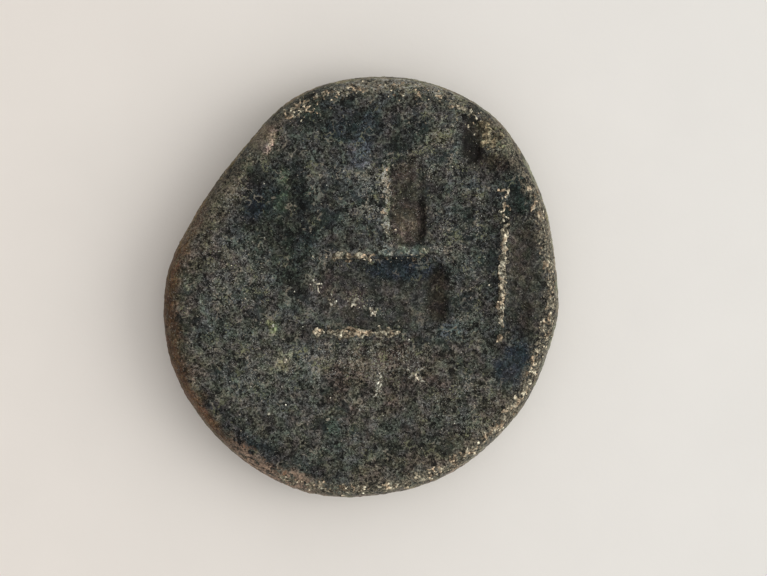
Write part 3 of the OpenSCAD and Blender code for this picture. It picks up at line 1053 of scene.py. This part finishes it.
def make_panel_upper_grains(ground):
    """Grains along the panel's upper line, large in its middle and small towards both ends."""
    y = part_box("panel_upper_soil")[1].y / MM
    left, inner_left, inner_right, right = (-2.4, y), (-1.4, y), (0.9, y), (3.7, y)
    spots = line_spots(ground, (left, inner_left), width=0.2, count=16, small=0.08, large=0.18)
    spots += line_spots(ground, (inner_left, inner_right), width=0.24, count=80, small=0.1, large=0.3)
    spots += line_spots(ground, (inner_right, right), width=0.3, count=55, small=0.07, large=0.18)
    return make_crust("panel_upper_grains", spots)


def make_panel_lower_grains(ground):
    """The chain of large grains along the panel's lower line."""
    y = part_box("panel_lower_soil")[0].y / MM - 0.05
    spots = line_spots(ground, ((-2.3, y), (1.9, y)), width=0.22, count=195, small=0.11, large=0.32)
    return make_crust("panel_lower_grains", spots)


def make_groove_grains(ground):
    """Small grains down the left side of the groove."""
    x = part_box("groove_soil")[0].x / MM
    spots = line_spots(ground, ((x, 2.6), (x, 6.2)), width=0.35, count=90, small=0.08, large=0.2)
    return make_crust("groove_grains", spots)


def make_border_grains(ground):
    """Grains along the border line, thickest in its middle."""
    foot, lower, upper, head = (6.82, -2.7), (6.88, -1.0), (7.02, 2.8), (7.1, 5.1)
    spots = line_spots(ground, (foot, lower), width=0.14, count=120, small=0.09, large=0.22)
    spots += line_spots(ground, (lower, upper), width=0.18, count=300, small=0.09, large=0.26)
    spots += line_spots(ground, (upper, head), width=0.26, count=70, small=0.08, large=0.2)
    return make_crust("border_grains", spots)


def make_loose_grains(ground):
    """Single grains, an arc of grains in the panel, and two short streaks below it."""
    arc_left, arc_right = ((-2.4, 0.3), (-1.2, -0.8)), ((-0.6, -0.6), (0.8, -1.3))
    upright_streak, slanting_streak = ((0.95, -3.7), (0.85, -5.4)), ((2.3, -4.0), (3.1, -4.7))
    spots = loose_spots(ground, SPARKLES, SCATTERED)
    spots += line_spots(ground, arc_left, width=0.22, count=32, small=0.1, large=0.22)
    spots += line_spots(ground, arc_right, width=0.22, count=34, small=0.1, large=0.22)
    spots += line_spots(ground, upright_streak, width=0.2, count=42, small=0.08, large=0.17)
    spots += line_spots(ground, slanting_streak, width=0.2, count=26, small=0.08, large=0.17)
    return make_crust("loose_grains", spots, voxel=0.035)


flan = make_flan()
paint_flan(flan)
ground = Ground(flan)

soil = make_soil(
    "sandy_soil", pale=(0.38, 0.34, 0.265), dark=(0.10, 0.090, 0.068), cast=(0.29, 0.215, 0.15)
)
ochre_soil = make_soil(
    "ochre_soil", pale=(0.23, 0.190, 0.125), dark=(0.055, 0.049, 0.035), cast=(0.085, 0.095, 0.058)
)
loose_sand = make_soil(
    "loose_sand", pale=(0.48, 0.46, 0.40), dark=(0.17, 0.16, 0.13), cast=(0.36, 0.31, 0.24)
)

# What makes each crust, its material, its slot and the CAD node that it stands for, in drawing order
CRUSTS = [
    (make_rim_grains, soil, "soil", "rim_soil"),
    (make_crown_grains, soil, "soil", "crown_soil"),
    (make_lump_grains, ochre_soil, "ochre_soil", "corner_lump"),
    (make_panel_upper_grains, soil, "soil", "panel_upper_soil"),
    (make_panel_lower_grains, soil, "soil", "panel_lower_soil"),
    (make_groove_grains, soil, "soil", "groove_soil"),
    (make_border_grains, soil, "soil", "channel_soil"),
    (make_loose_grains, loose_sand, "soil"),
]

shrink_to_metres(flan)
finish_piece(flan, make_patina(), "patina", "flan")
for make_grains, material, slot, *nodes in CRUSTS:
    finish_piece(make_grains(ground), material, slot, *nodes)


# ---------------------------------------------------------------- table, light and camera

TABLE_DROP = 0.02 * MM   # keeps the sheet just clear of the flan's flat underside


def make_table():
    """A matt sheet, warmer on the left than on the right."""
    bpy.ops.object.select_all(action="DESELECT")
    bpy.ops.mesh.primitive_plane_add(size=1.2)
    table = bpy.context.object
    table.name = "table_top"
    for corner in table.data.vertices:
        corner.co.z = -TABLE_DROP
    material, tree, shader, place = start_material("pale_table", Roughness=0.6, Specular_IOR_Level=0.1)
    across = new_node(tree, "ShaderNodeSeparateXYZ", None, {"Vector": place}).outputs["X"]
    warm_side, cool_side = (0.775, 0.722, 0.665, 1), (0.775, 0.752, 0.712, 1)
    sheet = blend_colour(tree, remap(tree, across, -25.0, 25.0), warm_side, cool_side)
    sheet = varied(tree, mottle_group, place, sheet, ((6.0, 0.06),))
    tree.links.new(sheet, shader.inputs["Base Color"])
    wire_bump(tree, shader, noise_at(tree, place, 0.25, 3.0), 0.004)
    table.data.materials.append(material)


def add_area_light(name, azimuth, elevation, distance, size, watts, colour):
    """A square lamp that faces the token. Azimuth is counter-clockwise from +X, in degrees."""
    a, e = math.radians(azimuth), math.radians(elevation)
    data = bpy.data.lights.new(name, "AREA")
    data.shape = "SQUARE"
    data.size = size
    data.energy = watts
    data.color = colour
    lamp = add_object(name, data)
    lamp.location = (
        distance * math.cos(e) * math.cos(a), distance * math.cos(e) * math.sin(a), distance * math.sin(e)
    )
    lamp.rotation_euler = lamp.location.to_track_quat("Z", "Y").to_euler()


def make_room(brightness, lean, azimuth):
    """Soft light from all round that grows stronger towards one side."""
    world = bpy.data.worlds.new("room")
    bpy.context.scene.world = world
    world.use_nodes = True
    tree = world.node_tree
    direction = new_node(tree, "ShaderNodeTexCoord").outputs["Generated"]
    a = math.radians(azimuth)
    towards = new_node(
        tree, "ShaderNodeVectorMath", {"operation": "DOT_PRODUCT"},
        {0: direction, 1: (math.cos(a), math.sin(a), 0.0)},
    ).outputs["Value"]
    level = sums(tree, "ADD", 1.0, times(tree, towards, lean))
    background = tree.nodes["Background"]
    tree.links.new(times(tree, level, brightness), background.inputs["Strength"])
    tint = blend_colour(tree, remap(tree, towards, -1.0, 1.0), (1.0, 0.985, 0.965, 1), (0.985, 0.99, 1.0, 1))
    tree.links.new(tint, background.inputs["Color"])


make_table()
add_area_light(
    "window", azimuth=-4, elevation=38, distance=0.45, size=0.30, watts=0.62, colour=(1.0, 0.99, 0.97)
)
make_room(brightness=0.85, lean=0.68, azimuth=-5)

VIEW_WIDTH = 38.2        # millimetres of the face's plane that the picture takes in
VIEW_OFFSET = (1.12, -0.05)
LENS, FILM = 90.0, 36.0

camera_data = bpy.data.cameras.new("camera")
camera_data.lens = LENS
camera_data.sensor_width = FILM
camera = add_object("camera", camera_data)
camera.location = (VIEW_OFFSET[0] * MM, VIEW_OFFSET[1] * MM, (VIEW_WIDTH * LENS / FILM + 2.0) * MM)
camera_data.clip_start = 0.001
bpy.context.scene.camera = camera
bpy.context.scene.view_settings.view_transform = "Standard"
